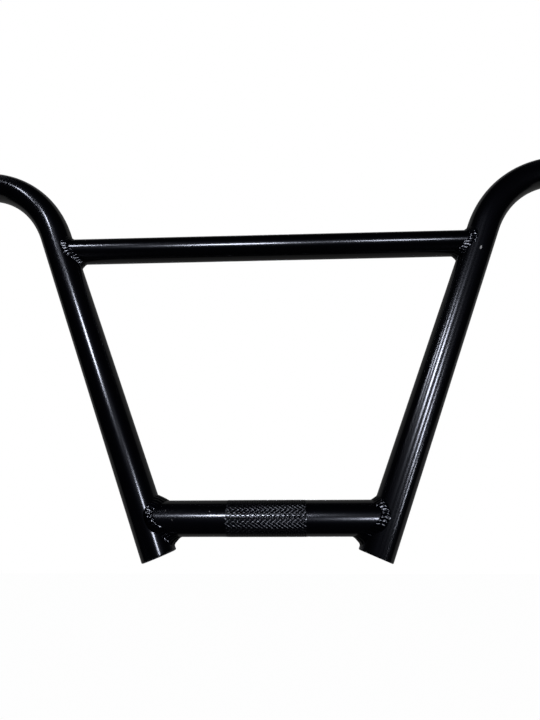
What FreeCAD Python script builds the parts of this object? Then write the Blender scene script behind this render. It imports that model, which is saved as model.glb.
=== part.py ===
"""Four-piece steel BMX handlebar: two bent side tubes, a crossbar, a clamp tube and their four welds.

Origin in the middle of the clamp tube, +X along it, +Z up the rise, +Y back towards the rider.
The left half mirrors the right half in the plane X = 0, but for the stop of its clamp weld.
"""

import FreeCAD
import Part
import math
import os

V = FreeCAD.Vector

# Overall form, in millimetres and degrees
WIDTH = 749.0  # between the middles of the two bar ends, 29.5 in
RISE = 266.7  # from the clamp axis up to the middle of a bar end, 10.5 in
BACKSWEEP = 11.0  # grips towards the rider
UPSWEEP = 2.0  # grips towards their ends
BEND_RADIUS = 88.9  # of the bend's centre line, 3.5 in
LEG_SPLAY = 22.5  # each leg from the vertical
LEG_SPACING = 153.0  # between the leg axes, at the height of the clamp axis
LEG_TAIL = 24.6  # of a leg below the clamp axis, along its own axis
CROSSBAR_DROP = 13.2  # of the crossbar's axis below the start of the bends

# Tubes
TUBE_OD = 22.2  # side tubes and clamp tube, 7/8 in
SIDE_WALL = 1.3
CLAMP_WALL = 2.0
CROSSBAR_OD = 19.05  # 3/4 in
CROSSBAR_WALL = 1.2
EDGE_BREAK = 0.5  # chamfer on the cut outer edges of the side tubes
EAR_TRIM = 1.0  # taken off the sharp tips of a coped end, back from the leg's axis

# Knurled band in the middle of the clamp tube, drawn as the cylinder over its crests
KNURL_LENGTH = 50.0
KNURL_RISE = 0.2  # of the crests above the plain tube
KNURL_RUNOUT = 0.6

# Weld beads
WELD_REACH = 4.2  # from the seam to either edge of the bead, in the corners between the tubes
WELD_FLUSH_REACH = 3.0  # the same where the two tubes lie flush
WELD_CROWN = 1.0  # of the bead where the two tubes lie flush
WELD_HOLLOW = 1.8  # lost from the crown in the corners, so that the bead is hollow there
WELD_STOP = 2.4  # of extra reach on top of the left clamp weld, where it was begun and ended
CLAMP_FOOT = 2.5  # of extra reach on the legs under the clamp tube, where weld fills the sharp corner
CROSSBAR_FOOT = 0.8  # the same under the crossbar
WELD_ROOT = 2.0  # of the bead below the seam
TOE_DEPTH = 0.15  # of the bead's edges below the tubes' skins, so that it feathers out on them
RIPPLE_PITCH = 2.2  # along the seam, from one pool of weld metal to the next
RIPPLE_RISE = 0.25  # of each pool's rim over the start of the next
RIPPLE_LEAN = 0.7  # of a pitch from the start of a pool to its rim
SEAM_SETBACK = 4.0  # least depth of the seam before the leg's axis, where weld fills the notch

tube_radius = TUBE_OD / 2
crossbar_radius = CROSSBAR_OD / 2
splay = math.radians(LEG_SPLAY)
sweep = math.radians(BACKSWEEP)
lift = math.radians(UPSWEEP)

# Centre line of the right side tube: straight leg, one bend in the plane of leg and grip, straight grip
leg_dir = V(math.sin(splay), 0, math.cos(splay))
grip_dir = V(math.cos(lift) * math.cos(sweep), math.cos(lift) * math.sin(sweep), math.sin(lift))
turn = leg_dir.getAngle(grip_dir)
bend_axis = leg_dir.cross(grip_dir).normalize()
bend_inward = bend_axis.cross(leg_dir)
bend_chord = (leg_dir * math.sin(turn) + bend_inward * (1 - math.cos(turn))) * BEND_RADIUS
leg_foot = V(LEG_SPACING / 2, 0, 0)
leg_inward = V(-math.cos(splay), 0, math.sin(splay))

# Leg and grip lengths that bring the end of the tube to half the width and to the rise
need_x = WIDTH / 2 - leg_foot.x - bend_chord.x
need_z = RISE - bend_chord.z
mix = leg_dir.x * grip_dir.z - leg_dir.z * grip_dir.x
leg_length = (need_x * grip_dir.z - need_z * grip_dir.x) / mix
grip_length = (need_z * leg_dir.x - need_x * leg_dir.z) / mix

leg_end = leg_foot - leg_dir * LEG_TAIL
bend_start = leg_foot + leg_dir * leg_length
bend_centre = bend_start + bend_inward * BEND_RADIUS
bend_end = bend_start + bend_chord
bar_end = bend_end + grip_dir * grip_length
crossbar_height = bend_start.z - CROSSBAR_DROP


def ring_face(centre, axis, outer, inner):
    """Cross-section of a tube as a flat ring."""
    rim = Part.Wire(Part.makeCircle(outer, centre, axis))
    bore = Part.Wire(Part.makeCircle(inner, centre, axis))
    return Part.makeFace([rim, bore], "Part::FaceMakerBullseye")


def straight_tube(start, end, broken_end):
    """Length of side tube with its outer edge chamfered at the point broken_end."""
    run = end - start
    tube = ring_face(start, run, tube_radius, tube_radius - SIDE_WALL).extrude(run)
    rims = []
    for edge in tube.Edges:
        at_end = edge.isClosed() and edge.CenterOfMass.distanceToPoint(broken_end) < 0.01
        if at_end and abs(edge.Curve.Radius - tube_radius) < 0.01:
            rims.append(edge)
    return tube.makeChamfer(EDGE_BREAK, rims)


def right_side_tube():
    """Leg, bend and grip in one length of tube, open at both ends."""
    leg = straight_tube(leg_end, bend_start, leg_end)
    section = ring_face(bend_start, leg_dir, tube_radius, tube_radius - SIDE_WALL)
    bend = section.revolve(bend_centre, bend_axis, math.degrees(turn))
    grip = straight_tube(bend_end, bar_end, bar_end)
    return leg.fuse([bend, grip]).removeSplitter()


def leg_axis_x(height):
    """Where the right leg's axis crosses a height."""
    return leg_foot.x + height * math.tan(splay)


def right_leg_core():
    """Full round of the right leg, which cuts the mouths of the tubes that meet it."""
    return Part.makeCylinder(tube_radius, leg_length + LEG_TAIL, leg_end, leg_dir)


def mirrored(shape):
    """Left-hand twin of a right-hand shape."""
    return shape.mirror(V(0, 0, 0), V(1, 0, 0))


def coped(tube):
    """Cross tube with a saddle-shaped mouth cut at each end to sit on the legs."""
    core = right_leg_core()
    return tube.cut(core).cut(mirrored(core))


def crossbar():
    """Upper cross tube, coped to the legs just below the bends."""
    reach = leg_axis_x(crossbar_height) - EAR_TRIM
    bore = crossbar_radius - CROSSBAR_WALL
    section = ring_face(V(-reach, 0, crossbar_height), V(1, 0, 0), crossbar_radius, bore)
    return coped(section.extrude(V(2 * reach, 0, 0)))


def clamp_tube():
    """Lower cross tube that the stem grips, turned about X with its raised knurled band."""
    reach = leg_axis_x(0) - EAR_TRIM
    band = KNURL_LENGTH / 2
    bore = tube_radius - CLAMP_WALL
    crest = tube_radius + KNURL_RISE
    half = [
        (reach, bore),
        (reach, tube_radius),
        (band + KNURL_RUNOUT, tube_radius),
        (band, crest),
    ]
    outline = half + [(-x, r) for x, r in reversed(half)]
    points = [V(x, 0, r) for x, r in outline]
    profile = Part.Face(Part.makePolygon(points + points[:1]))
    return coped(profile.revolve(V(0, 0, 0), V(1, 0, 0), 360))


def seam(radius, height, angle):
    """Point of the seam between the right leg and a cross tube, angle measured from the tube's top line."""
    y = radius * math.sin(angle)
    z = height + radius * math.cos(angle)
    depth = (max(tube_radius**2 - y**2, 0) ** 2 + SEAM_SETBACK**4) ** 0.25
    return V(leg_axis_x(z) - depth / math.cos(splay), y, z)


def unrolled(point):
    """Place of a seam point on the leg's skin laid flat: distance round the leg, distance along it."""
    from_foot = point - leg_foot
    turn_of_leg = math.atan2(point.y, from_foot.dot(leg_inward))
    return tube_radius * turn_of_leg, from_foot.dot(leg_dir)


def on_leg(round_leg, along_leg, radius):
    """Point at a place of the laid-flat skin, at a radius from the leg's axis."""
    turn_of_leg = round_leg / tube_radius
    outward = leg_inward * math.cos(turn_of_leg) + V(0, math.sin(turn_of_leg), 0)
    return leg_foot + leg_dir * along_leg + outward * radius


def near(angle, line):
    """Share of one for angles at a line along the tube, falling to nothing away from it."""
    return math.exp(-((math.remainder(angle - line, 2 * math.pi) / 0.6) ** 2))


def bead_section(radius, height, angle, swell, stop, foot):
    """Closed outline of the bead across its seam: a curved face from toe to toe, and a root in the tubes.

    The swell adds to the bead's reach and crown. The stop stretches it over the tube's top line, and the
    foot over both tubes at the bottom line, with a deeper hollow.
    """
    point = seam(radius, height, angle)
    before = seam(radius, height, angle - 0.4)
    after = seam(radius, height, angle + 0.4)

    # Share of a corner: none where the tubes lie flush, all of it above and below the cross tube
    around, along = unrolled(point)
    leg_normal = on_leg(around, along, 1.0) - on_leg(around, along, 0.0)
    tube_normal = V(0, math.sin(angle), math.cos(angle))
    opening = min(1.0, (1 - leg_normal.dot(tube_normal)) / (1 - math.sin(splay)))
    corner = opening**2 * (3 - 2 * opening)
    stretch = stop * near(angle, 0)
    spread = foot * near(angle, math.pi)
    reach = WELD_FLUSH_REACH + (WELD_REACH - WELD_FLUSH_REACH) * corner + swell + spread
    crown = WELD_CROWN - WELD_HOLLOW * corner + swell + 0.4 * stretch - 0.35 * spread

    # Toe on the leg: out from the loop that the seam makes on the leg's skin
    around_0, along_0 = unrolled(before)
    around_1, along_1 = unrolled(after)
    normal = V(along_0 - along_1, around_1 - around_0, 0).normalize()
    middle = unrolled(V(leg_axis_x(height), 0, height))
    if normal.x * around + normal.y * (along - middle[1]) < 0:
        normal = -normal
    leg_toe = on_leg(around + reach * normal.x, along + reach * normal.y, tube_radius - TOE_DEPTH)

    # Toe on the cross tube: back along it, further where the seam slants
    slope = (after.x - before.x) / (0.8 * radius)
    tube_reach = reach + stretch + 0.5 * spread
    tube_toe = point - V(tube_reach * math.hypot(1, slope), 0, 0) - tube_normal * TOE_DEPTH

    outward = (leg_normal + tube_normal).normalize()
    face = Part.BezierCurve()
    face.setPoles([leg_toe, (leg_toe + tube_toe) * 0.5 + outward * (2 * crown), tube_toe])
    root = point - outward * WELD_ROOT
    back = Part.makeLine(tube_toe, root)
    front = Part.makeLine(root, leg_toe)
    return Part.Wire([face.toShape(), back, front])


def seam_runs(radius, height):
    """Angles round a seam, starting at the back of the bar, and the length of seam run up to each."""
    steps = 720
    angles = [math.pi / 2 + 2 * math.pi * i / steps for i in range(steps + 1)]
    points = [seam(radius, height, angle) for angle in angles]
    runs = [0.0]
    for last, point in zip(points, points[1:]):
        runs.append(runs[-1] + last.distanceToPoint(point))
    return angles, runs


def angle_after(length, angles, runs):
    """Angle at which a length of seam has been run."""
    i = next(i for i, run in enumerate(runs) if run > length)
    share = (length - runs[i - 1]) / (runs[i] - runs[i - 1])
    return angles[i - 1] + share * (angles[i] - angles[i - 1])


def right_weld(radius, height, stop, foot):
    """Bead round the seam of the right leg and a cross tube, a chain of pools that overlap like coins."""
    angles, runs = seam_runs(radius, height)
    pools = round(runs[-1] / RIPPLE_PITCH)
    pitch = runs[-1] / pools
    sections = []
    for i in range(pools):
        start = angle_after(i * pitch, angles, runs)
        rim = angle_after((i + RIPPLE_LEAN) * pitch, angles, runs)
        sections.append(bead_section(radius, height, start, 0.0, stop, foot))
        sections.append(bead_section(radius, height, rim, RIPPLE_RISE, stop, foot))
    ring = Part.makeLoft(sections, True, True, True)
    reach = leg_axis_x(height) - EAR_TRIM
    cross_core = Part.makeCylinder(radius, reach, V(0, 0, height), V(1, 0, 0))
    return ring.cut(right_leg_core()).cut(cross_core).Solids[0]


def both_welds(radius, height, left_stop, foot):
    """The bead at each end of a cross tube."""
    left = mirrored(right_weld(radius, height, left_stop, foot))
    return Part.makeCompound([right_weld(radius, height, 0.0, foot), left])


side = right_side_tube()
nodes = {
    "right_side_tube": side,
    "left_side_tube": mirrored(side),
    "crossbar": crossbar(),
    "clamp_tube": clamp_tube(),
    "crossbar_welds": both_welds(crossbar_radius, crossbar_height, 0.0, CROSSBAR_FOOT),
    "clamp_welds": both_welds(tube_radius, 0.0, WELD_STOP, CLAMP_FOOT),
}

os.makedirs("parts", exist_ok=True)
for name, shape in nodes.items():
    shape.exportStep(f"parts/{name}.step")
    box = shape.BoundBox
    print(f"{name}: {len(shape.Solids)} solid, {shape.Volume:.0f} mm3, valid {shape.isValid()}")
    print(f"    {box.XLength:.1f} by {box.YLength:.1f} by {box.ZLength:.1f} mm")
print(f"leg {leg_length:.1f}  bend {math.degrees(turn):.2f} deg")
print(f"grip {grip_length:.1f}  crossbar at {crossbar_height:.1f}")
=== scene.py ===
"""Looks of a BMX handlebar: painted tubes, a knurled clamp tube and weld beads, in a white studio."""

import logging
import math
from dataclasses import dataclass, replace
from enum import Enum
from typing import Any, Mapping, Sequence, Union

import bpy
from mathutils import Matrix, Vector


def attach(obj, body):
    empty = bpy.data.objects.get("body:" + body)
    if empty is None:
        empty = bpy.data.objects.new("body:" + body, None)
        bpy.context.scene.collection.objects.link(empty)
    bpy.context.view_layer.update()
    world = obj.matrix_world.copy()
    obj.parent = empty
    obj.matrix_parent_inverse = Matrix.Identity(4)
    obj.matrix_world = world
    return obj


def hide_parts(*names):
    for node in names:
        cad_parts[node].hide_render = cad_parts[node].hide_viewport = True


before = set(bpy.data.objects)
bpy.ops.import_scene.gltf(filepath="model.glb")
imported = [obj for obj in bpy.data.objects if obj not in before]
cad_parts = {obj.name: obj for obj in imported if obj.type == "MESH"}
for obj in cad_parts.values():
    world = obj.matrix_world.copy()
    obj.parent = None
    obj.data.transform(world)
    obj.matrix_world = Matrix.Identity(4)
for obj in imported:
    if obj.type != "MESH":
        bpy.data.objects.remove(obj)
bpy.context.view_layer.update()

MM = 0.001

Link = Union[bpy.types.Node, bpy.types.NodeSocket, float, int, bool, str, Sequence[float], bpy.types.Material]

log = logging.getLogger("handlebar")


class Side(Enum):
    """Side of the bar in the photograph's view, with the sign of its X."""

    RIGHT = 1
    LEFT = -1


def linear(hex_colour: str) -> tuple[float, float, float, float]:
    """Turns an sRGB hex colour into linear light.

    Args:
        hex_colour: six hex digits after a hash.

    Returns:
        Linear red, green, blue and an alpha of 1.
    """
    parts = [int(hex_colour[i : i + 2], 16) / 255 for i in (1, 3, 5)]
    red, green, blue = [p / 12.92 if p <= 0.04045 else ((p + 0.055) / 1.055) ** 2.4 for p in parts]
    return red, green, blue, 1.0


def add_node(
    tree: bpy.types.NodeTree, kind: str, links: Mapping[Union[str, int], Link], **settings: Any
) -> bpy.types.Node:
    """Adds a node to a tree.

    Args:
        tree: tree that gets the node.
        kind: type name of the node.
        links: by input name or number, a constant, a socket, or a node whose first output is meant.
        settings: the node's own properties.

    Returns:
        The new node.
    """
    node = tree.nodes.new(kind)
    for name, value in settings.items():
        setattr(node, name, value)
    for key, value in links.items():
        source = value.outputs[0] if isinstance(value, bpy.types.Node) else value
        if isinstance(source, bpy.types.NodeSocket):
            tree.links.new(source, node.inputs[key])
        else:
            node.inputs[key].default_value = source
    return node


class ShapeTree:
    """A Geometry Nodes tree with named inputs, run on a host mesh and turned into a plain mesh."""

    def __init__(self, name: str, inputs: Mapping[str, str]) -> None:
        """Starts the tree.

        Args:
            name: name of the tree.
            inputs: socket type by the name of each input.
        """
        self.tree = bpy.data.node_groups.new(name, "GeometryNodeTree")
        sockets = self.tree.interface
        sockets.new_socket("Geometry", in_out="INPUT", socket_type="NodeSocketGeometry")
        for label, kind in inputs.items():
            sockets.new_socket(label, in_out="INPUT", socket_type=kind)
        sockets.new_socket("Geometry", in_out="OUTPUT", socket_type="NodeSocketGeometry")
        self.given = add_node(self.tree, "NodeGroupInput", {}).outputs

    def close(self, shape: Link, finish: Link, bore_finish: Link, in_bore: Link) -> None:
        """Ends the tree: smooth faces, real geometry, and a finish on the skin and in the bore.

        Args:
            shape: geometry so far.
            finish: material of the whole piece.
            bore_finish: material of the faces that in_bore selects.
            in_bore: selection of those faces.
        """
        smooth = add_node(self.tree, "GeometryNodeSetShadeSmooth", {"Geometry": shape, "Shade Smooth": True})
        real = add_node(self.tree, "GeometryNodeRealizeInstances", {"Geometry": smooth})
        painted = add_node(self.tree, "GeometryNodeSetMaterial", {"Geometry": real, "Material": finish})
        lined = add_node(
            self.tree,
            "GeometryNodeSetMaterial",
            {"Geometry": painted, "Selection": in_bore, "Material": bore_finish},
        )
        add_node(self.tree, "NodeGroupOutput", {"Geometry": lined})

    def run(self, name: str, host: bpy.types.Mesh, values: Mapping[str, Any]) -> bpy.types.Mesh:
        """Runs the tree on a host mesh.

        Args:
            name: name of the mesh to make.
            host: mesh that the tree starts from.
            values: value of each named input.

        Returns:
            The result as a plain mesh.
        """
        holder = bpy.data.objects.new(name + "_host", host)
        bpy.context.scene.collection.objects.link(holder)
        modifier = holder.modifiers.new(self.tree.name, "NODES")
        modifier.node_group = self.tree
        for item in self.tree.interface.items_tree:
            if item.in_out == "INPUT" and item.name in values:
                modifier[item.identifier] = values[item.name]
        graph = bpy.context.evaluated_depsgraph_get()
        mesh = bpy.data.meshes.new_from_object(holder.evaluated_get(graph))
        mesh.name = name
        holder.modifiers.remove(modifier)
        bpy.data.objects.remove(holder)
        bpy.data.meshes.remove(host)
        return mesh


def place_piece(
    name: str, mesh: bpy.types.Mesh, nodes: Sequence[str], crease: float
) -> bpy.types.Object:
    """Puts a finished mesh in the scene for the solids that it stands for.

    Args:
        name: name of the piece.
        mesh: mesh with its place in its vertices.
        nodes: solids that it replaces.
        crease: angle in degrees above which an edge is sharp.

    Returns:
        The piece.
    """
    mesh.set_sharp_from_angle(angle=math.radians(crease))
    piece = bpy.data.objects.new(name, mesh)
    bpy.context.scene.collection.objects.link(piece)
    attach(piece, "root")
    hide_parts(*nodes)
    return piece


@dataclass(frozen=True)
class SpeckAndGlint:
    """An oval pale mark painted into the colour, placed on a tube's skin in metres and leaning in degrees.

    It serves for specks, and for a painted highlight where a paint nib glints. It is whole out to its core
    and gone at its rim, both as shares of the oval.
    """

    place: tuple[float, float, float]
    width: float
    length: float
    lean: float
    strength: float
    core: float = 0.7
    rim: float = 1.1

    def share(self, tree: bpy.types.NodeTree, place: Link) -> bpy.types.Node:
        """Adds nodes that give the fleck's strength inside its oval and nothing outside.

        Args:
            tree: tree that gets the nodes.
            place: position on the piece.

        Returns:
            Node that gives the share.
        """
        size = (self.width / 2, self.width / 2, self.length / 2)
        local = add_node(
            tree,
            "ShaderNodeMapping",
            {
                "Vector": place,
                "Location": self.place,
                "Rotation": (0, math.radians(self.lean), 0),
                "Scale": size,
            },
            vector_type="TEXTURE",
        )
        away = add_node(tree, "ShaderNodeVectorMath", {0: local}, operation="LENGTH").outputs["Value"]
        return add_node(
            tree,
            "ShaderNodeMapRange",
            {
                "Value": away,
                "From Min": self.core,
                "From Max": self.rim,
                "To Min": self.strength,
                "To Max": 0.0,
            },
        )


@dataclass(frozen=True)
class BlackPaint:
    """Black enamel sprayed on chromoly steel, under a clear coat.

    The clear coat gives narrow, bright lines of every lamp. The dark pigment under it gives a faint wide glow
    beside them. Spraying leaves a fine orange peel and longer waves, which make the lines waver, and thinner
    spots, which mottle the black by a shade. Pale ovals are painted into the colour: faint specks on the
    clamp tube, and on the right leg a painted highlight, the glint of a paint nib.
    """

    name: str
    colour: str = "#010102"
    colour_thin: str = "#020203"
    gloss: float = 1.0
    coat_roughness: float = 0.17
    body_roughness: float = 0.42
    body_specular: float = 0.006
    body_tint: str = "#7482ff"
    ior: float = 1.5
    mottle_width: float = 9.6 * MM
    peel_width: float = 1.6 * MM
    peel_depth: float = 0.0003 * MM
    wave_width: float = 14.0 * MM
    wave_depth: float = 0.006 * MM
    # Pale colour of the specks, and of the painted glint on the right leg
    speck_and_glint_colour: str = "#98958d"
    specks_and_glints: Sequence[SpeckAndGlint] = ()

    def material(self) -> bpy.types.Material:
        """Builds the material.

        Returns:
            The material.
        """
        made = bpy.data.materials.new(self.name)
        made.use_nodes = True
        tree = made.node_tree
        tree.nodes.clear()
        place = add_node(tree, "ShaderNodeTexCoord", {}).outputs["Object"]
        mottle = add_node(
            tree, "ShaderNodeTexNoise", {"Vector": place, "Scale": 1 / self.mottle_width, "Detail": 3.0}
        )
        colour = add_node(
            tree,
            "ShaderNodeMix",
            {0: mottle, 6: linear(self.colour), 7: linear(self.colour_thin)},
            data_type="RGBA",
        )
        # Pale ovals mixed into the base colour: specks, and a painted highlight on the right leg
        for fleck in self.specks_and_glints:
            colour = add_node(
                tree,
                "ShaderNodeMix",
                {0: fleck.share(tree, place), 6: colour.outputs[2], 7: linear(self.speck_and_glint_colour)},
                data_type="RGBA",
            )
        waves = add_node(
            tree, "ShaderNodeTexNoise", {"Vector": place, "Scale": 1 / self.wave_width, "Detail": 1.0}
        )
        wavy = add_node(
            tree,
            "ShaderNodeBump",
            {"Strength": 1.0, "Distance": self.wave_depth, "Height": waves.outputs["Fac"]},
        )
        peel = add_node(
            tree, "ShaderNodeTexNoise", {"Vector": place, "Scale": 1 / self.peel_width, "Detail": 2.0}
        )
        peeled = add_node(
            tree,
            "ShaderNodeBump",
            {"Strength": 1.0, "Distance": self.peel_depth, "Height": peel.outputs["Fac"], "Normal": wavy},
        )
        paint = add_node(
            tree,
            "ShaderNodeBsdfPrincipled",
            {
                "Base Color": colour.outputs[2],
                "Roughness": self.body_roughness,
                "IOR": self.ior,
                "Specular IOR Level": self.body_specular,
                "Specular Tint": linear(self.body_tint),
                "Coat Weight": self.gloss,
                "Coat Roughness": self.coat_roughness,
                "Coat IOR": self.ior,
                "Normal": peeled,
                "Coat Normal": peeled,
            },
        )
        add_node(tree, "ShaderNodeOutputMaterial", {"Surface": paint})
        return made


@dataclass(frozen=True)
class BarSizes:
    """Sizes of the whole bar that its pieces share, in metres and degrees."""

    width: float = 749.0 * MM
    rise: float = 266.7 * MM
    backsweep: float = 11.0
    upsweep: float = 2.0
    bend_radius: float = 88.9 * MM
    leg_splay: float = 22.5
    leg_spacing: float = 153.0 * MM
    leg_tail: float = 24.6 * MM
    crossbar_drop: float = 13.2 * MM
    tube_radius: float = 11.1 * MM
    ear_trim: float = 1.0 * MM

    @property
    def splay(self) -> float:
        """Leg splay in radians."""
        return math.radians(self.leg_splay)

    @property
    def leg_dir(self) -> Vector:
        """Direction up the right leg."""
        return Vector((math.sin(self.splay), 0, math.cos(self.splay)))

    @property
    def leg_foot(self) -> Vector:
        """Point of the right leg's axis at the height of the clamp axis."""
        return Vector((self.leg_spacing / 2, 0, 0))

    @property
    def leg_inward(self) -> Vector:
        """Direction square to the right leg, towards the middle of the bar."""
        return Vector((-math.cos(self.splay), 0, math.sin(self.splay)))

    @property
    def grip_dir(self) -> Vector:
        """Direction out along the right grip."""
        up, back = math.radians(self.upsweep), math.radians(self.backsweep)
        return Vector((math.cos(up) * math.cos(back), math.cos(up) * math.sin(back), math.sin(up)))

    @property
    def turn(self) -> float:
        """Angle of the bend."""
        return self.leg_dir.angle(self.grip_dir)

    @property
    def bend_inward(self) -> Vector:
        """Direction from the start of the bend to its centre."""
        return self.leg_dir.cross(self.grip_dir).normalized().cross(self.leg_dir)

    def bend_point(self, angle: float) -> Vector:
        """Point of the bend's centre line, from its start.

        Args:
            angle: angle turned since the start of the bend.

        Returns:
            Offset from the start of the bend.
        """
        return (self.leg_dir * math.sin(angle) + self.bend_inward * (1 - math.cos(angle))) * self.bend_radius

    @property
    def straight_lengths(self) -> tuple[float, float]:
        """Straight parts of a side tube, which give the bar its width and its rise.

        Returns:
            Lengths of the leg above the clamp axis and of the grip.
        """
        chord, leg, grip = self.bend_point(self.turn), self.leg_dir, self.grip_dir
        need_x = self.width / 2 - self.leg_foot.x - chord.x
        need_z = self.rise - chord.z
        mix = leg.x * grip.z - leg.z * grip.x
        return (need_x * grip.z - need_z * grip.x) / mix, (need_z * leg.x - need_x * leg.z) / mix

    @property
    def crossbar_height(self) -> float:
        """Height of the crossbar's axis over the clamp axis."""
        return (self.leg_dir * self.straight_lengths[0]).z - self.crossbar_drop

    def leg_axis_x(self, height: float) -> float:
        """Where the right leg's axis crosses a height."""
        return self.leg_foot.x + height * math.tan(self.splay)


@dataclass
class SideTube:
    """Leg, bend and grip in one length of tube, open at both ends.

    The first ring at an end has the bore's radius. The next, a lip further in, has the skin's, so that the
    end of the wall is closed.
    """

    bar: BarSizes
    side: Side
    wall: float = 1.3 * MM
    edge_break: float = 0.5 * MM
    lip: float = 0.02 * MM
    end_ring: float = 4.0 * MM
    touch: float = 0.002 * MM
    merge: float = 0.001 * MM
    leg_steps: int = 24
    bend_steps: int = 72
    grip_steps: int = 16
    sides: int = 96
    crease: float = 30.0

    @property
    def node(self) -> str:
        """Name of the solid that the tube stands for."""
        return f"{self.side.name.lower()}_side_tube"

    def path(self) -> list[Vector]:
        """Lays out the tube's centre line.

        Returns:
            Its points, from the foot of the leg to the bar end.
        """
        bar = self.bar
        leg, grip = bar.straight_lengths
        ends = (0.0, self.lip, self.edge_break, self.end_ring)
        run = leg + bar.leg_tail
        foot = bar.leg_foot - bar.leg_dir * bar.leg_tail
        line = [foot + bar.leg_dir * at for at in ends]
        line += [foot + bar.leg_dir * (run * i / self.leg_steps) for i in range(2, self.leg_steps)]
        start = foot + bar.leg_dir * run
        line += [start + bar.bend_point(bar.turn * i / self.bend_steps) for i in range(self.bend_steps + 1)]
        bend_end = line[-1]
        line += [bend_end + bar.grip_dir * (grip * i / self.grip_steps) for i in range(1, self.grip_steps)]
        line += [bend_end + bar.grip_dir * (grip - at) for at in reversed(ends)]
        return [Vector((p.x * self.side.value, p.y, p.z)) for p in line]

    def tree(self) -> ShapeTree:
        """Builds the tree that sweeps a hollow, chamfered tube along the host's edges.

        Returns:
            The tree.
        """
        shape = ShapeTree(
            self.node + "_sweep",
            {
                "Skin Radius": "NodeSocketFloat",
                "Bore Radius": "NodeSocketFloat",
                "Edge Break": "NodeSocketFloat",
                "Sides": "NodeSocketInt",
                "Paint": "NodeSocketMaterial",
                "Bore Paint": "NodeSocketMaterial",
            },
        )
        tree, given = shape.tree, shape.given
        curve = add_node(tree, "GeometryNodeMeshToCurve", {"Mesh": given["Geometry"]})
        gone = add_node(tree, "GeometryNodeSplineParameter", {}).outputs["Length"]
        total = add_node(tree, "GeometryNodeSplineLength", {}).outputs["Length"]
        to_go = add_node(tree, "ShaderNodeMath", {0: total, 1: gone}, operation="SUBTRACT")
        near = add_node(tree, "ShaderNodeMath", {0: gone, 1: to_go}, operation="MINIMUM")
        short = add_node(tree, "ShaderNodeMath", {0: given["Edge Break"], 1: near}, operation="SUBTRACT")
        lost = add_node(tree, "ShaderNodeMath", {0: short, 1: 0.0}, operation="MAXIMUM")
        skin = add_node(tree, "ShaderNodeMath", {0: given["Skin Radius"], 1: lost}, operation="SUBTRACT")
        at_end = add_node(tree, "ShaderNodeMath", {0: near, 1: self.touch}, operation="LESS_THAN")
        step = add_node(tree, "ShaderNodeMath", {0: given["Bore Radius"], 1: skin}, operation="SUBTRACT")
        radius = add_node(tree, "ShaderNodeMath", {0: at_end, 1: step, 2: skin}, operation="MULTIPLY_ADD")
        ring = add_node(
            tree, "GeometryNodeCurvePrimitiveCircle", {"Resolution": given["Sides"], "Radius": 1.0}
        )
        outer = add_node(
            tree, "GeometryNodeCurveToMesh", {"Curve": curve, "Profile Curve": ring, "Scale": radius}
        )
        bore = add_node(
            tree,
            "GeometryNodeCurveToMesh",
            {"Curve": curve, "Profile Curve": ring, "Scale": given["Bore Radius"]},
        )
        inner = add_node(tree, "GeometryNodeFlipFaces", {"Mesh": bore})
        marked = add_node(
            tree,
            "GeometryNodeStoreNamedAttribute",
            {"Geometry": inner, "Name": "in_bore", "Value": True},
            data_type="BOOLEAN",
            domain="FACE",
        )
        both = add_node(tree, "GeometryNodeJoinGeometry", {"Geometry": outer})
        tree.links.new(marked.outputs[0], both.inputs[0])
        closed = add_node(tree, "GeometryNodeMergeByDistance", {"Geometry": both, "Distance": self.merge})
        in_bore = add_node(tree, "GeometryNodeInputNamedAttribute", {"Name": "in_bore"}, data_type="BOOLEAN")
        shape.close(closed, given["Paint"], given["Bore Paint"], in_bore)
        return shape

    def build(self, paint: bpy.types.Material, bore_paint: bpy.types.Material) -> bpy.types.Object:
        """Builds the tube and dresses it.

        Args:
            paint: finish of the skin.
            bore_paint: finish of the bore.

        Returns:
            The finished piece.
        """
        points = self.path()
        host = bpy.data.meshes.new(self.node + "_path")
        host.from_pydata(points, [(i, i + 1) for i in range(len(points) - 1)], [])
        values = {
            "Skin Radius": self.bar.tube_radius,
            "Bore Radius": self.bar.tube_radius - self.wall,
            "Edge Break": self.edge_break,
            "Sides": self.sides,
            "Paint": paint,
            "Bore Paint": bore_paint,
        }
        mesh = self.tree().run(self.node + "_painted", host, values)
        return place_piece(self.node + "_painted", mesh, [self.node], self.crease)


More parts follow.
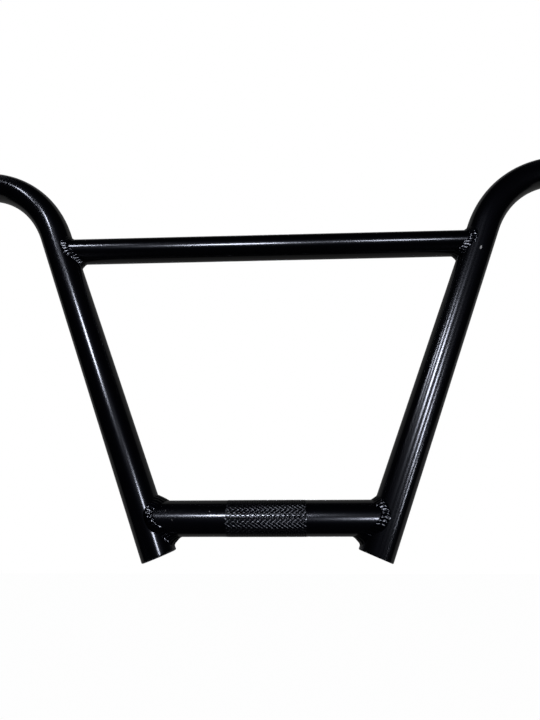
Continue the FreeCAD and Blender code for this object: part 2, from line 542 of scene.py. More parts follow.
@dataclass
class CopedTube:
    """Straight tube between the legs, both ends coped to sit on them.

    Its middle, out to the band on either side, takes the band's share of the rows of faces.
    """

    bar: BarSizes
    node: str = "crossbar"
    radius: float = 9.525 * MM
    wall: float = 1.2 * MM
    rows: int = 80
    bore_rows: int = 20
    sides: int = 96
    band: float = 0.0
    band_share: float = 0.001
    last_row: float = 0.9999
    merge: float = 0.002 * MM
    crease: float = 50.0

    @property
    def height(self) -> float:
        """Height of the tube's axis over the clamp axis."""
        return self.bar.crossbar_height

    def host(self) -> bpy.types.Mesh:
        """Mesh that the tree starts from: nothing, as the tree makes its own grids."""
        return bpy.data.meshes.new(self.node + "_start")

    def flat_face(self, shape: ShapeTree, inside: bool) -> Link:
        """Adds a face of the wall as it is before it is rolled up.

        Args:
            shape: tree that gets the nodes.
            inside: whether it is the bore.

        Returns:
            Geometry, with the place along the tube in X, -1 to 1, and the angle round it in Y.
        """
        rows, sides = shape.given["Bore Rows" if inside else "Rows"], shape.given["Sides"]
        return add_node(
            shape.tree,
            "GeometryNodeMeshGrid",
            {"Size X": 2.0, "Size Y": 2 * math.pi, "Vertices X": rows, "Vertices Y": sides},
        )

    def inputs(self) -> dict[str, tuple[str, Any]]:
        """Lists the named inputs of the tree.

        Returns:
            The socket type and the value of each input.
        """
        bar = self.bar
        return {
            "Radius": ("NodeSocketFloat", self.radius),
            "Bore Radius": ("NodeSocketFloat", self.radius - self.wall),
            "Height": ("NodeSocketFloat", self.height),
            "Leg Foot": ("NodeSocketFloat", bar.leg_foot.x),
            "Leg Slope": ("NodeSocketFloat", math.tan(bar.splay)),
            "Leg Secant": ("NodeSocketFloat", 1 / math.cos(bar.splay)),
            "Leg Radius": ("NodeSocketFloat", bar.tube_radius),
            "Furthest": ("NodeSocketFloat", bar.leg_axis_x(self.height) - bar.ear_trim),
            "Band": ("NodeSocketFloat", self.band),
            "Band Share": ("NodeSocketFloat", self.band_share),
            "Rows": ("NodeSocketInt", self.rows + 1),
            "Bore Rows": ("NodeSocketInt", self.bore_rows + 1),
            "Sides": ("NodeSocketInt", self.sides + 1),
        }

    def skin(self, shape: ShapeTree, along: Link, turn: Link) -> Link:
        """Radius of the skin at a place on the tube.

        Args:
            shape: tree that gets the nodes.
            along: place along the tube, -1 to 1.
            turn: angle round the tube.

        Returns:
            The radius.
        """
        return shape.given["Radius"]

    def wall_face(self, shape: ShapeTree, inside: bool) -> bpy.types.Node:
        """Adds one face of the wall: a grid rolled up and stretched out to the legs.

        Args:
            shape: tree that gets the nodes.
            inside: whether it is the bore; the skin's last rows turn in to meet the bore.

        Returns:
            Node that gives the face.
        """
        tree, given = shape.tree, shape.given
        flat = self.flat_face(shape, inside)
        spot = add_node(tree, "ShaderNodeSeparateXYZ", {0: add_node(tree, "GeometryNodeInputPosition", {})})
        along, turn = spot.outputs[0], spot.outputs[1]
        out = add_node(tree, "ShaderNodeMath", {0: along}, operation="ABSOLUTE")
        radius: Link = given["Bore Radius"]
        if not inside:
            skin = self.skin(shape, along, turn)
            last = add_node(tree, "ShaderNodeMath", {0: out, 1: self.last_row}, operation="GREATER_THAN")
            step = add_node(tree, "ShaderNodeMath", {0: given["Bore Radius"], 1: skin}, operation="SUBTRACT")
            radius = add_node(tree, "ShaderNodeMath", {0: last, 1: step, 2: skin}, operation="MULTIPLY_ADD")
        sine = add_node(tree, "ShaderNodeMath", {0: turn}, operation="SINE")
        cosine = add_node(tree, "ShaderNodeMath", {0: turn}, operation="COSINE")
        y = add_node(tree, "ShaderNodeMath", {0: radius, 1: sine}, operation="MULTIPLY")
        z = add_node(
            tree, "ShaderNodeMath", {0: radius, 1: cosine, 2: given["Height"]}, operation="MULTIPLY_ADD"
        )

        # The leg's skin at this height and depth is where the cope ends
        y_square = add_node(tree, "ShaderNodeMath", {0: y, 1: y}, operation="MULTIPLY")
        leg_square = add_node(
            tree, "ShaderNodeMath", {0: given["Leg Radius"], 1: given["Leg Radius"]}, operation="MULTIPLY"
        )
        rest = add_node(tree, "ShaderNodeMath", {0: leg_square, 1: y_square}, operation="SUBTRACT")
        kept = add_node(tree, "ShaderNodeMath", {0: rest, 1: 0.0}, operation="MAXIMUM")
        depth = add_node(tree, "ShaderNodeMath", {0: kept}, operation="SQRT")
        slant = add_node(tree, "ShaderNodeMath", {0: depth, 1: given["Leg Secant"]}, operation="MULTIPLY")
        axis = add_node(
            tree,
            "ShaderNodeMath",
            {0: z, 1: given["Leg Slope"], 2: given["Leg Foot"]},
            operation="MULTIPLY_ADD",
        )
        cope = add_node(tree, "ShaderNodeMath", {0: axis, 1: slant}, operation="SUBTRACT")
        reach = add_node(tree, "ShaderNodeMath", {0: cope, 1: given["Furthest"]}, operation="MINIMUM")

        # Rows in the band stay put; the others share out the way to the leg, the last two at its end
        spare = 1.0 if inside else 1 / (1 - 2 / (self.rows * (1 - self.band_share)))
        share = add_node(
            tree,
            "ShaderNodeMapRange",
            {"Value": out, "From Min": given["Band Share"], "From Max": 1.0, "To Min": 0.0, "To Max": spare},
        )
        run = add_node(tree, "ShaderNodeMath", {0: share, 1: 1.0}, operation="MINIMUM")
        in_band = add_node(tree, "ShaderNodeMath", {0: out, 1: given["Band Share"]}, operation="DIVIDE")
        band_run = add_node(tree, "ShaderNodeMath", {0: in_band, 1: 1.0}, operation="MINIMUM")
        beyond = add_node(tree, "ShaderNodeMath", {0: reach, 1: given["Band"]}, operation="SUBTRACT")
        first = add_node(tree, "ShaderNodeMath", {0: band_run, 1: given["Band"]}, operation="MULTIPLY")
        length = add_node(tree, "ShaderNodeMath", {0: run, 1: beyond, 2: first}, operation="MULTIPLY_ADD")
        sign = add_node(tree, "ShaderNodeMath", {0: along}, operation="SIGN")
        x = add_node(tree, "ShaderNodeMath", {0: sign, 1: length}, operation="MULTIPLY")
        spot_on_tube = add_node(tree, "ShaderNodeCombineXYZ", {0: x, 1: y, 2: z})
        rolled = add_node(tree, "GeometryNodeSetPosition", {"Geometry": flat, "Position": spot_on_tube})
        return add_node(tree, "GeometryNodeFlipFaces", {"Mesh": rolled}) if inside else rolled

    def tree(self) -> ShapeTree:
        """Builds the tree that makes the skin and the bore and closes them at the copes.

        Returns:
            The tree.
        """
        kinds = {name: kind for name, (kind, _) in self.inputs().items()}
        kinds.update({"Paint": "NodeSocketMaterial", "Bore Paint": "NodeSocketMaterial"})
        shape = ShapeTree(self.node + "_roll", kinds)
        tree = shape.tree
        outer = self.wall_face(shape, False)
        marked = add_node(
            tree,
            "GeometryNodeStoreNamedAttribute",
            {"Geometry": self.wall_face(shape, True), "Name": "in_bore", "Value": True},
            data_type="BOOLEAN",
            domain="FACE",
        )
        both = add_node(tree, "GeometryNodeJoinGeometry", {"Geometry": outer})
        tree.links.new(marked.outputs[0], both.inputs[0])
        closed = add_node(tree, "GeometryNodeMergeByDistance", {"Geometry": both, "Distance": self.merge})
        in_bore = add_node(tree, "GeometryNodeInputNamedAttribute", {"Name": "in_bore"}, data_type="BOOLEAN")
        shape.close(closed, shape.given["Paint"], shape.given["Bore Paint"], in_bore)
        return shape

    def build(self, paint: bpy.types.Material, bore_paint: bpy.types.Material) -> bpy.types.Object:
        """Builds the tube and dresses it.

        Args:
            paint: finish of the skin.
            bore_paint: finish of the bore.

        Returns:
            The finished piece.
        """
        values = {name: value for name, (_, value) in self.inputs().items()}
        values.update({"Paint": paint, "Bore Paint": bore_paint})
        mesh = self.tree().run(self.node + "_painted", self.host(), values)
        return place_piece(self.node + "_painted", mesh, [self.node], self.crease)


@dataclass
class ClampTube(CopedTube):
    """Tube that the stem clamps, with a band of diamond knurling round its middle.

    Rows and sides give ten steps to a diamond each way. A diamond climbs steeply to knurl_flank of the way
    from its grooves to its middle, and by a share, knurl_crown, gently on to knurl_shoulder. The relief fades
    out over the runout at each end of the band.
    """

    node: str = "clamp_tube"
    radius: float = 11.1 * MM
    wall: float = 2.0 * MM
    rows: int = 200
    sides: int = 310
    band: float = 25.0 * MM
    band_share: float = 0.8
    knurl_pitch: float = 3.125 * MM
    knurls_round: int = 31
    knurl_rise: float = 0.1 * MM
    knurl_cut: float = 0.09 * MM
    knurl_flank: float = 0.4
    knurl_shoulder: float = 0.8
    knurl_crown: float = 0.15
    runout: float = 0.6 * MM
    crease: float = 3.0

    @property
    def height(self) -> float:
        """Height of the tube's axis over the clamp axis."""
        return 0.0

    def inputs(self) -> dict[str, tuple[str, Any]]:
        """Adds the knurl to the named inputs of the tree.

        Returns:
            The socket type and the value of each input.
        """
        return super().inputs() | {
            "Knurl Pitch": ("NodeSocketFloat", self.knurl_pitch),
            "Knurls per Radian": ("NodeSocketFloat", self.knurls_round / (2 * math.pi)),
            "Knurl Depth": ("NodeSocketFloat", self.knurl_rise + self.knurl_cut),
            "Knurl Cut": ("NodeSocketFloat", self.knurl_cut),
            "Knurl Flank": ("NodeSocketFloat", self.knurl_flank),
            "Knurl Shoulder": ("NodeSocketFloat", self.knurl_shoulder),
            "Knurl Crown": ("NodeSocketFloat", self.knurl_crown),
            "Runout": ("NodeSocketFloat", self.runout),
        }

    def host(self) -> bpy.types.Mesh:
        """Lays the skin out flat, with quads that follow the two ways of the grooves in the band.

        Returns:
            The flat skin, with the place along the tube in X, -1 to 1, and the angle round it in Y.
        """
        first = round(self.rows * (1 - self.band_share) / 2)
        last = self.rows - first
        points = [
            (2 * i / self.rows - 1, 2 * math.pi * j / self.sides - math.pi, 0.0)
            for i in range(self.rows + 1)
            for j in range(self.sides)
        ]

        def at(i: int, j: int) -> int:
            """Number of the point in a row and a column."""
            return i * self.sides + j % self.sides

        faces: list[tuple[int, ...]] = []
        for i in [*range(first), *range(last, self.rows)]:
            faces += [(at(i, j), at(i + 1, j), at(i + 1, j + 1), at(i, j + 1)) for j in range(self.sides)]
        for i in range(first, last + 1):
            for j in range(i % 2, self.sides, 2):
                if i == first:
                    faces += [(at(i, j), at(i, j - 1), at(i + 1, j)), (at(i, j), at(i + 1, j), at(i, j + 1))]
                elif i == last:
                    faces += [(at(i, j), at(i, j + 1), at(i - 1, j)), (at(i, j), at(i - 1, j), at(i, j - 1))]
                else:
                    faces.append((at(i + 1, j), at(i, j + 1), at(i - 1, j), at(i, j - 1)))
        used = sorted({corner for face in faces for corner in face})
        place = {old: new for new, old in enumerate(used)}
        mesh = super().host()
        mesh.from_pydata([points[k] for k in used], [], [[place[k] for k in face] for face in faces])
        return mesh

    def flat_face(self, shape: ShapeTree, inside: bool) -> Link:
        """Gives the bore a plain grid and the skin the host's faces.

        Args:
            shape: tree that gets the nodes.
            inside: whether it is the bore.

        Returns:
            Geometry, with the place along the tube in X, -1 to 1, and the angle round it in Y.
        """
        return super().flat_face(shape, True) if inside else shape.given["Geometry"]

    def skin(self, shape: ShapeTree, along: Link, turn: Link) -> Link:
        """Radius of the skin at a place on the tube: two crossing helices of grooves leave flat diamonds.

        Args:
            shape: tree that gets the nodes.
            along: place along the tube, -1 to 1.
            turn: angle round the tube.

        Returns:
            The radius.
        """
        tree, given = shape.tree, shape.given
        scaled = add_node(tree, "ShaderNodeMath", {0: along, 1: given["Band Share"]}, operation="DIVIDE")
        x = add_node(tree, "ShaderNodeMath", {0: scaled, 1: given["Band"]}, operation="MULTIPLY")
        rows = add_node(tree, "ShaderNodeMath", {0: x, 1: given["Knurl Pitch"]}, operation="DIVIDE")
        turns = add_node(
            tree, "ShaderNodeMath", {0: turn, 1: given["Knurls per Radian"]}, operation="MULTIPLY"
        )
        ridges = []
        for cut in ("ADD", "SUBTRACT"):
            phase = add_node(tree, "ShaderNodeMath", {0: rows, 1: turns}, operation=cut)
            ridge = add_node(tree, "ShaderNodeMath", {0: phase, 1: 0.5}, operation="PINGPONG")
            ridges.append(add_node(tree, "ShaderNodeMath", {0: ridge, 1: 2.0}, operation="MULTIPLY"))
        peak = add_node(tree, "ShaderNodeMath", {0: ridges[0], 1: ridges[1]}, operation="MINIMUM")
        flank, shoulder = (
            add_node(tree, "ShaderNodeMath", {0: peak, 1: given[name]}, operation="DIVIDE", use_clamp=True)
            for name in ("Knurl Flank", "Knurl Shoulder")
        )
        share = add_node(tree, "ShaderNodeMix", {0: given["Knurl Crown"], 2: flank, 3: shoulder})
        lift = add_node(tree, "ShaderNodeMath", {0: share, 1: given["Knurl Depth"]}, operation="MULTIPLY")
        relief = add_node(tree, "ShaderNodeMath", {0: lift, 1: given["Knurl Cut"]}, operation="SUBTRACT")
        out = add_node(tree, "ShaderNodeMath", {0: x}, operation="ABSOLUTE")
        room = add_node(tree, "ShaderNodeMath", {0: given["Band"], 1: out}, operation="SUBTRACT")
        fade = add_node(
            tree, "ShaderNodeMath", {0: room, 1: given["Runout"]}, operation="DIVIDE", use_clamp=True
        )
        return add_node(
            tree, "ShaderNodeMath", {0: fade, 1: relief, 2: given["Radius"]}, operation="MULTIPLY_ADD"
        )


@dataclass
class WeldPair:
    """The weld bead at each end of a cross tube: a chain of pools that overlap like coins.

    A bead is short and crowned where the tubes run side by side, and long and hollowed in the corners. Its
    foot spreads at the tube's bottom line, and the left bead may have a stop at the top line, where it began.
    """

    bar: BarSizes
    node: str
    radius: float
    height: float
    reach: float = 4.2 * MM
    flush_reach: float = 3.0 * MM
    crown: float = 1.0 * MM
    hollow: float = 1.8 * MM
    foot: float = 0.8 * MM
    foot_share: float = 0.5
    foot_sink: float = 0.35
    left_stop: float = 0.0
    stop_crown: float = 0.4
    line_width: float = 0.6
    slope_step: float = 0.4
    root: float = 2.0 * MM
    toe_depth: float = 0.15 * MM
    setback: float = 4.0 * MM
    pitch: float = 2.2 * MM
    rise: float = 0.28 * MM
    sink: float = 0.6
    bow: float = 0.45
    wander: float = 0.4
    lumps: float = 0.15 * MM
    lump_pitches: float = 1.6
    seed: float = 3.0
    steps_per_pool: int = 16
    seam_steps: int = 1440
    face_steps: int = 18
    crease: float = 60.0

    def seam(self, angle: float) -> Vector:
        """Finds a point of the seam on the right leg.

        Args:
            angle: angle from the tube's top line.

        Returns:
            The point.
        """
        bar = self.bar
        y = self.radius * math.sin(angle)
        z = self.height + self.radius * math.cos(angle)
        depth = (max(bar.tube_radius**2 - y**2, 0) ** 2 + self.setback**4) ** 0.25
        return Vector((bar.leg_axis_x(z) - depth / math.cos(bar.splay), y, z))

    def unrolled(self, point: Vector) -> Vector:
        """Lays the leg's skin flat.

        Args:
            point: point of the seam.

        Returns:
            Distance of the point round the leg, and along it.
        """
        bar = self.bar
        from_foot = point - bar.leg_foot
        turned = math.atan2(point.y, from_foot.dot(bar.leg_inward))
        return Vector((bar.tube_radius * turned, from_foot.dot(bar.leg_dir)))

    def leg_normal(self, around: float) -> Vector:
        """Outward direction of the leg's skin at a distance round it."""
        turned = around / self.bar.tube_radius
        return self.bar.leg_inward * math.cos(turned) + Vector((0, math.sin(turned), 0))

    def near(self, angle: float, line: float) -> float:
        """Share of one for angles at a line along the tube, falling to nothing away from it."""
        return math.exp(-((math.remainder(angle - line, 2 * math.pi) / self.line_width) ** 2))

    def section(self, angle: float, stop: float) -> list[Vector]:
        """Outline of the bead across its seam.

        Args:
            angle: angle from the tube's top line.
            stop: extra reach near that line, where the bead was begun and ended.

        Returns:
            Points of the face from the leg's toe to the tube's toe, and then the root.
        """
        bar = self.bar
        point = self.seam(angle)
        before, after = self.seam(angle - self.slope_step), self.seam(angle + self.slope_step)
        flat, flat_0, flat_1 = self.unrolled(point), self.unrolled(before), self.unrolled(after)
        leg_normal = self.leg_normal(flat.x)
        tube_normal = Vector((0, math.sin(angle), math.cos(angle)))

        # From nothing where the tubes run side by side to one in the corner between them, eased at both ends
        opening = min(1.0, (1 - leg_normal.dot(tube_normal)) / (1 - math.sin(bar.splay)))
        corner = opening**2 * (3 - 2 * opening)
        stretch, spread = stop * self.near(angle, 0), self.foot * self.near(angle, math.pi)
        reach = self.flush_reach + (self.reach - self.flush_reach) * corner + spread
        crown = self.crown - self.hollow * corner + self.stop_crown * stretch - self.foot_sink * spread
        normal = Vector((flat_0.y - flat_1.y, flat_1.x - flat_0.x)).normalized()
        middle = self.unrolled(Vector((bar.leg_axis_x(self.height), 0, self.height)))
        if normal.dot(Vector((flat.x, flat.y - middle.y))) < 0:
            normal = -normal
        toe = flat + normal * reach
        leg_toe = (
            bar.leg_foot + bar.leg_dir * toe.y + self.leg_normal(toe.x) * (bar.tube_radius - self.toe_depth)
        )
        slope = (after.x - before.x) / (2 * self.slope_step * self.radius)
        tube_reach = reach + stretch + self.foot_share * spread
        tube_toe = point - Vector((tube_reach * math.hypot(1, slope), 0, 0)) - tube_normal * self.toe_depth
        outward = (leg_normal + tube_normal).normalized()
        line = []
        for i in range(self.face_steps + 1):
            t = i / self.face_steps
            line.append(leg_toe * (1 - t) + tube_toe * t + outward * (crown * (1 - (2 * t - 1) ** 4)))
        return line + [point - outward * self.root]

    def angles(self) -> list[float]:
        """Shares the seam out in equal steps, with a whole number of pools round it.

        Returns:
            Angle of each step from the tube's top line, from the back of the bar on.
        """
        fine = [math.pi / 2 + 2 * math.pi * i / self.seam_steps for i in range(self.seam_steps + 1)]
        points = [self.seam(angle) for angle in fine]
        runs = [0.0]
        for last, point in zip(points, points[1:]):
            runs.append(runs[-1] + (point - last).length)
        pools = round(runs[-1] / self.pitch)
        steps = pools * self.steps_per_pool
        angles, i = [], 0
        for step in range(steps):
            want = runs[-1] * step / steps
            while runs[i + 1] < want:
                i += 1
            angles.append(fine[i] + (want - runs[i]) / (runs[i + 1] - runs[i]) * (fine[i + 1] - fine[i]))
        return angles

    def host(self) -> bpy.types.Mesh:
        """Lays smooth beads at both ends.

        Returns:
            The beads, each point marked with its pool, its place across and its freedom to move.
        """
        angles = self.angles()
        across = self.face_steps + 2
        points: list[Vector] = []
        faces: list[tuple[int, ...]] = []
        marks: dict[str, list[float]] = {"pool": [], "across": [], "free": []}
        for side in Side:
            base = len(points)
            stop = self.left_stop if side is Side.LEFT else 0.0
            rings = [self.section(angle, stop) for angle in angles]
            for i, ring in enumerate(rings):
                points += [Vector((p.x * side.value, p.y, p.z)) for p in ring]
                for j in range(across):
                    t = 2 * j / self.face_steps - 1
                    marks["pool"].append(i / self.steps_per_pool)
                    marks["across"].append(t if j < across - 1 else 0.0)
                    marks["free"].append(max(0.0, 1 - t**4) if j < across - 1 else 0.0)
            for i in range(len(rings)):
                for j in range(across):
                    a, b = base + i * across + j, base + i * across + (j + 1) % across
                    c, d = (base + (i + 1) % len(rings) * across + k for k in ((j + 1) % across, j))
                    faces.append((d, c, b, a) if side is Side.RIGHT else (a, b, c, d))
        mesh = bpy.data.meshes.new(self.node + "_smooth")
        mesh.from_pydata(points, [], faces)
        for name, values in marks.items():
            mesh.attributes.new(name, "FLOAT", "POINT").data.foreach_set("value", values)
        return mesh

    def tree(self) -> ShapeTree:
        """Builds the tree that raises a curved ripple for each pool, uneven as a hand moves.

        Returns:
            The tree.
        """
        shape = ShapeTree(
            self.node + "_ripples",
            {
                "Rise": "NodeSocketFloat",
                "Bow": "NodeSocketFloat",
                "Wander": "NodeSocketFloat",
                "Lumps": "NodeSocketFloat",
                "Lump Scale": "NodeSocketFloat",
                "Seed": "NodeSocketFloat",
                "Paint": "NodeSocketMaterial",
            },
        )
        tree, given = shape.tree, shape.given
        pool, across, free = (
            add_node(tree, "GeometryNodeInputNamedAttribute", {"Name": name}, data_type="FLOAT")
            for name in ("pool", "across", "free")
        )
        spot = add_node(tree, "GeometryNodeInputPosition", {})
        noise = add_node(
            tree,
            "ShaderNodeTexNoise",
            {"Vector": spot, "W": given["Seed"], "Scale": given["Lump Scale"], "Detail": 2.0},
            noise_dimensions="4D",
        )
        level = add_node(tree, "ShaderNodeMath", {0: noise, 1: 0.5}, operation="SUBTRACT")
        square = add_node(tree, "ShaderNodeMath", {0: across, 1: across}, operation="MULTIPLY")
        bowed = add_node(
            tree, "ShaderNodeMath", {0: square, 1: given["Bow"], 2: pool}, operation="MULTIPLY_ADD"
        )
        phase = add_node(
            tree, "ShaderNodeMath", {0: level, 1: given["Wander"], 2: bowed}, operation="MULTIPLY_ADD"
        )

        # A pool's profile is the arch 4 p (1 - p), sunk by about its mean so that the bead keeps its size
        part = add_node(tree, "ShaderNodeMath", {0: phase}, operation="FRACT")
        other = add_node(tree, "ShaderNodeMath", {0: 1.0, 1: part}, operation="SUBTRACT")
        scallop = add_node(tree, "ShaderNodeMath", {0: part, 1: other}, operation="MULTIPLY")
        crest = add_node(
            tree, "ShaderNodeMath", {0: scallop, 1: 4.0, 2: -self.sink}, operation="MULTIPLY_ADD"
        )
        ripple = add_node(tree, "ShaderNodeMath", {0: crest, 1: given["Rise"]}, operation="MULTIPLY")
        uneven = add_node(
            tree, "ShaderNodeMath", {0: level, 1: given["Lumps"], 2: ripple}, operation="MULTIPLY_ADD"
        )
        lift = add_node(tree, "ShaderNodeMath", {0: uneven, 1: free}, operation="MULTIPLY")
        normal = add_node(tree, "GeometryNodeInputNormal", {})
        move = add_node(tree, "ShaderNodeVectorMath", {0: normal, "Scale": lift}, operation="SCALE")
        rippled = add_node(
            tree, "GeometryNodeSetPosition", {"Geometry": given["Geometry"], "Offset": move.outputs["Vector"]}
        )
        shape.close(rippled, given["Paint"], given["Paint"], False)
        return shape

    def build(self, paint: bpy.types.Material) -> bpy.types.Object:
        """Builds both beads and dresses them.

        Args:
            paint: finish of the beads.

        Returns:
            The finished piece.
        """
        values = {
            "Rise": self.rise,
            "Bow": self.bow,
            "Wander": self.wander,
            "Lumps": self.lumps,
            "Lump Scale": 1 / (self.lump_pitches * self.pitch),
            "Seed": self.seed,
            "Paint": paint,
        }
        mesh = self.tree().run(self.node + "_painted", self.host(), values)
        return place_piece(self.node + "_painted", mesh, [self.node], self.crease)


@dataclass(frozen=True)
class Lamp:
    """A flat soft lamp, sized and placed in metres, that faces straight back or is aimed at the bar."""

    name: str
    x: float
    z: float
    width: float
    height: float
    level: float
    y: float = -6.0
    aimed: bool = False
    colour: str = "#e6ecff"

    @classmethod
    def soft(cls, name: str, x: float, y: float, z: float) -> "Lamp":
        """A dim round lamp that is aimed at the bar, for the sides that the bright lamps leave dark."""
        return cls(name, x, z, width=1.6, height=1.6, level=8.0, y=y, aimed=True)

    def hang(self) -> bpy.types.Object:
        """Hangs the lamp; its level is the brightness of its face, where 1 is white paper.

        Returns:
            The lamp.
        """
        data = bpy.data.lights.new(self.name, "AREA")
        data.shape = "ELLIPSE"
        data.size, data.size_y = self.width, self.height
        data.energy = self.level * math.pi * (math.pi / 4 * self.width * self.height)
        data.color = linear(self.colour)[:3]
        lamp = bpy.data.objects.new(self.name, data)
        lamp.location = (self.x, self.y, self.z)
        lamp.rotation_euler = (math.pi / 2, 0, 0)
        if self.aimed:
            lamp.rotation_euler = lamp.location.to_track_quat("Z", "Y").to_euler()
        lamp.visible_camera = False
        bpy.context.scene.collection.objects.link(lamp)
        return lamp


@dataclass
class Studio:
    """White backdrop and floor behind the bar, a dark room with lamps in front of it, and the camera.

    The leg, crossbar and clamp lamps each light their own tubes, and give them the thin lines of light that
    the photograph has. Two tall strips light the flanks of the knurl. The soft lamps behind, below and at the
    sides show the bar from elsewhere, and the photograph's view hardly catches them.

    The gloss sees the floor and the backdrop at gloss_level, which comes up over the stretch of Y that each
    glow gives. To the eye, eye_share of the floor is plain white, and the rest takes the shadow.
    """

    floor_level: float = -0.40
    floor_front: float = -0.30
    floor_depth: float = 4.0
    floor_width: float = 7.0
    floor_colour: str = "#f4f4f4"
    floor_glow: tuple[float, float] = (0.10, 0.22)
    eye_share: float = 0.985
    white: str = "#ffffff"
    gloss_level: float = 0.15
    backdrop_glow: tuple[float, float] = (0.22, 0.38)
    room_colour: str = "#a9b6cc"
    room_level: float = 0.003
    lens: float = 24.814
    sensor: float = 36.0
    clip: tuple[float, float] = (0.01, 100.0)
    camera_place: tuple[float, float, float] = (0.015432, -0.329339, 0.000345)
    camera_right: tuple[float, float, float] = (0.999185, 0.040263, -0.002794)
    camera_up: tuple[float, float, float] = (0.014853, -0.302470, 0.953043)
    leg_lamps: Sequence[Lamp] = (
        Lamp("leg_lamp_1", -6.2, 6.9, 0.8, 1.2, 55.0),
        Lamp("leg_lamp_2", -3.1, 5.0, 0.8, 1.2, 55.0),
        Lamp("leg_lamp_3", -0.74, 3.05, 0.8, 1.2, 75.0),
        Lamp("leg_lamp_4", 1.85, 1.42, 0.8, 1.0, 55.0),
        Lamp("leg_lamp_5", 4.55, 0.1, 0.8, 1.0, 55.0),
        Lamp("leg_lamp_6", 7.8, -1.7, 0.9, 1.0, 40.0),
    )
    crossbar_lamps: Sequence[Lamp] = (
        Lamp("crossbar_lamp_1", -3.40, 3.7, 1.2, 0.7, 80.0),
        Lamp("crossbar_lamp_2", -0.67, 1.24, 1.2, 0.7, 75.0),
        Lamp("crossbar_lamp_3", 1.42, 1.44, 1.1, 0.7, 40.0),
        Lamp.soft("crossbar_back", -0.3, 5.1, 3.2),
    )
    clamp_lamps: Sequence[Lamp] = (
        Lamp("clamp_lamp_1", -0.66, 1.90, 1.0, 0.7, 90.0),
        Lamp("clamp_lamp_2", 1.6, -0.53, 1.0, 0.7, 110.0),
        Lamp("knurl_strip_left", -3.8, 4.6, 1.0, 6.6, 8.0),
        Lamp("knurl_strip_right", 3.3, -0.3, 0.7, 4.6, 8.0),
        Lamp.soft("clamp_back", 0.0, 6.0, 0.0),
    )
    bounce_lamps: Sequence[Lamp] = (
        Lamp.soft("bounce_right", 3.96, -2.34, -3.84),
        Lamp.soft("bounce_left", -3.96, -2.34, -3.84),
    )
    fill_lamps: Sequence[Lamp] = (
        Lamp.soft("far_side", -5.58, 1.92, 0.84),
        Lamp.soft("back_corner", -3.54, 4.86, 0.0),
        Lamp.soft("near_top", 3.72, 1.5, 4.44),
    )

    def floor(self) -> bpy.types.Object:
        """Lays a floor of matt white paper: white to the eye, with a faint shadow, and dim in the gloss.

        Returns:
            The floor.
        """
        half = self.floor_width / 2
        low, high = self.floor_front, self.floor_front + self.floor_depth
        corners = [(-half, low), (half, low), (half, high), (-half, high)]
        mesh = bpy.data.meshes.new("studio_floor")
        mesh.from_pydata([(x, y, self.floor_level) for x, y in corners], [], [(0, 1, 2, 3)])
        made = bpy.data.materials.new("white_paper_floor")
        made.use_nodes = True
        tree = made.node_tree
        tree.nodes.clear()
        paper = add_node(tree, "ShaderNodeBsdfDiffuse", {"Color": linear(self.floor_colour)})
        path = add_node(tree, "ShaderNodeLightPath", {})
        place = add_node(tree, "ShaderNodeTexCoord", {}).outputs["Object"]
        spot = add_node(tree, "ShaderNodeSeparateXYZ", {0: place})
        start, end = self.floor_glow
        lit = add_node(
            tree,
            "ShaderNodeMapRange",
            {
                "Value": spot.outputs[1],
                "From Min": start,
                "From Max": end,
                "To Min": 0.0,
                "To Max": self.gloss_level,
            },
            interpolation_type="SMOOTHSTEP",
        )
        level = add_node(
            tree, "ShaderNodeMath", {0: path.outputs["Is Camera Ray"], 1: lit}, operation="MAXIMUM"
        )
        white = add_node(tree, "ShaderNodeEmission", {"Color": linear(self.white), "Strength": level})
        eye = add_node(
            tree,
            "ShaderNodeMath",
            {0: path.outputs["Is Camera Ray"], 1: self.eye_share},
            operation="MULTIPLY",
        )
        share = add_node(
            tree, "ShaderNodeMath", {0: eye, 1: path.outputs["Is Glossy Ray"]}, operation="MAXIMUM"
        )
        surface = add_node(tree, "ShaderNodeMixShader", {0: share, 1: paper, 2: white})
        add_node(tree, "ShaderNodeOutputMaterial", {"Surface": surface})
        mesh.materials.append(made)
        floor = bpy.data.objects.new("studio_floor", mesh)
        bpy.context.scene.collection.objects.link(floor)
        return floor

    def backdrop(self) -> None:
        """Makes the world white to the eye; in the gloss, dim white behind and dark in front."""
        world = bpy.data.worlds.new("white_backdrop")
        bpy.context.scene.world = world
        world.use_nodes = True
        tree = world.node_tree
        tree.nodes.clear()
        way = add_node(tree, "ShaderNodeSeparateXYZ", {0: add_node(tree, "ShaderNodeTexCoord", {})})
        start, end = self.backdrop_glow
        behind = add_node(
            tree,
            "ShaderNodeMapRange",
            {
                "Value": way.outputs[1],
                "From Min": start,
                "From Max": end,
                "To Min": 0.0,
                "To Max": self.gloss_level,
            },
            interpolation_type="SMOOTHSTEP",
        )
        room = add_node(
            tree, "ShaderNodeBackground", {"Color": linear(self.room_colour), "Strength": self.room_level}
        )
        white = add_node(tree, "ShaderNodeBackground", {"Color": linear(self.white), "Strength": 1.0})
        seen = add_node(tree, "ShaderNodeLightPath", {}).outputs["Is Camera Ray"]
        share = add_node(tree, "ShaderNodeMath", {0: seen, 1: behind}, operation="MAXIMUM")
        surface = add_node(tree, "ShaderNodeMixShader", {0: share, 1: room, 2: white})
        add_node(tree, "ShaderNodeOutputWorld", {"Surface": surface})

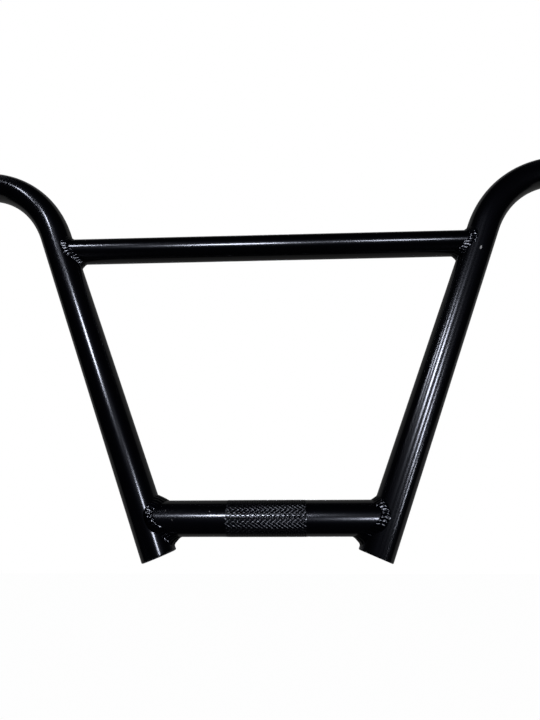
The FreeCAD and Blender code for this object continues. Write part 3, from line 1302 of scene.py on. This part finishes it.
    def camera(self) -> bpy.types.Object:
        """Sets the camera low in front of the clamp tube, looking up at the crossbar.

        Returns:
            The camera.
        """
        data = bpy.data.cameras.new("photo_camera")
        data.sensor_width = self.sensor
        data.lens = self.lens
        data.clip_start, data.clip_end = self.clip
        right, up = Vector(self.camera_right).normalized(), Vector(self.camera_up).normalized()
        back = right.cross(up)
        camera = bpy.data.objects.new("photo_camera", data)
        turned = Matrix((right, up, back)).transposed().to_4x4()
        camera.matrix_world = Matrix.Translation(self.camera_place) @ turned
        bpy.context.scene.collection.objects.link(camera)
        bpy.context.scene.camera = camera
        return camera

    @staticmethod
    def hang_row(name: str, lamps: Sequence[Lamp], lit: Sequence[bpy.types.Object]) -> None:
        """Hangs a row of lamps that lights some pieces only; only those pieces shade its aimed lamps.

        Args:
            name: name of the row.
            lamps: lamps of the row.
            lit: pieces that they light.
        """
        row = bpy.data.collections.new(name)
        for piece in lit:
            row.objects.link(piece)
        for lamp in lamps:
            linking = lamp.hang().light_linking
            linking.receiver_collection = row
            if lamp.aimed:
                linking.blocker_collection = row

    def build(
        self,
        side_tubes: Sequence[bpy.types.Object],
        welds: Sequence[bpy.types.Object],
        crossbar: bpy.types.Object,
        clamp: bpy.types.Object,
    ) -> None:
        """Sets up the floor, backdrop, lamps and camera.

        Args:
            side_tubes: the side tubes, in the order of Side.
            welds: the weld beads.
            crossbar: the crossbar.
            clamp: the clamp tube.
        """
        bpy.context.scene.view_settings.view_transform = "Standard"
        floor = self.floor()
        self.backdrop()
        self.hang_row("leg_lamps", self.leg_lamps, [*side_tubes, *welds, floor])
        self.hang_row("crossbar_lamps", self.crossbar_lamps, [crossbar])
        self.hang_row("clamp_lamps", self.clamp_lamps, [clamp])
        self.hang_row("bounce_lamps", self.bounce_lamps, [*side_tubes, crossbar, clamp])
        for side, tube in zip(Side, side_tubes):
            word = side.name.lower()
            row = [
                replace(lamp, name=f"{word}_{lamp.name}", x=lamp.x * side.value) for lamp in self.fill_lamps
            ]
            self.hang_row(f"{word}_fill_lamps", row, [tube, crossbar, clamp])
        self.camera()


def main() -> None:
    """Builds the bar piece by piece, then the studio round it."""
    logging.basicConfig(level=logging.INFO, format="%(message)s")
    bar = BarSizes()

    # A paint nib on the right leg, its glint painted in as a pale oval; faint specks on the left half of the
    # clamp tube
    specks_and_glints = (
        # Painted highlight: the paint nib's glint on the right leg, as a pale colour
        SpeckAndGlint((0.1535, -0.0111, 0.1836), 1.5 * MM, 3.2 * MM, 22.5, 1.0),
        SpeckAndGlint((-0.0348, -0.0103, 0.0041), 0.8 * MM, 1.0 * MM, 0.0, 0.35),
        SpeckAndGlint((-0.0624, -0.0100, 0.0048), 0.7 * MM, 2.4 * MM, 10.0, 0.15),
        SpeckAndGlint((-0.0578, -0.0111, -0.0008), 0.7 * MM, 1.8 * MM, -40.0, 0.12),
    )
    paint = BlackPaint("sprayed_black_enamel", specks_and_glints=specks_and_glints).material()

    # Overspray dries rough and gets no clear coat, so the bores look matt and the open ends read as hollow
    bore_paint = BlackPaint(
        "black_overspray_in_bore", gloss=0.0, body_roughness=0.62, body_specular=0.4, peel_depth=0.01 * MM
    ).material()

    # Enamel draws tight and thin over the ripples, so each weld pool has its own small, sharp glint
    weld_paint = BlackPaint(
        "black_enamel_over_weld", gloss=0.7, coat_roughness=0.12, wave_depth=0.0
    ).material()

    side_tubes = [SideTube(bar, side).build(paint, bore_paint) for side in Side]
    upper, lower = CopedTube(bar), ClampTube(bar)
    upper_welds = WeldPair(bar, "crossbar_welds", upper.radius, upper.height)
    lower_welds = WeldPair(bar, "clamp_welds", lower.radius, lower.height, foot=2.5 * MM, left_stop=2.4 * MM)
    crossbar, clamp = upper.build(paint, bore_paint), lower.build(paint, bore_paint)
    welds = [upper_welds.build(weld_paint), lower_welds.build(weld_paint)]
    for piece in [*side_tubes, crossbar, clamp, *welds]:
        piece.data.calc_loop_triangles()
        log.info("%s: %d triangles", piece.name, len(piece.data.loop_triangles))
    Studio().build(side_tubes, welds, crossbar, clamp)


if __name__ == "__main__":
    main()
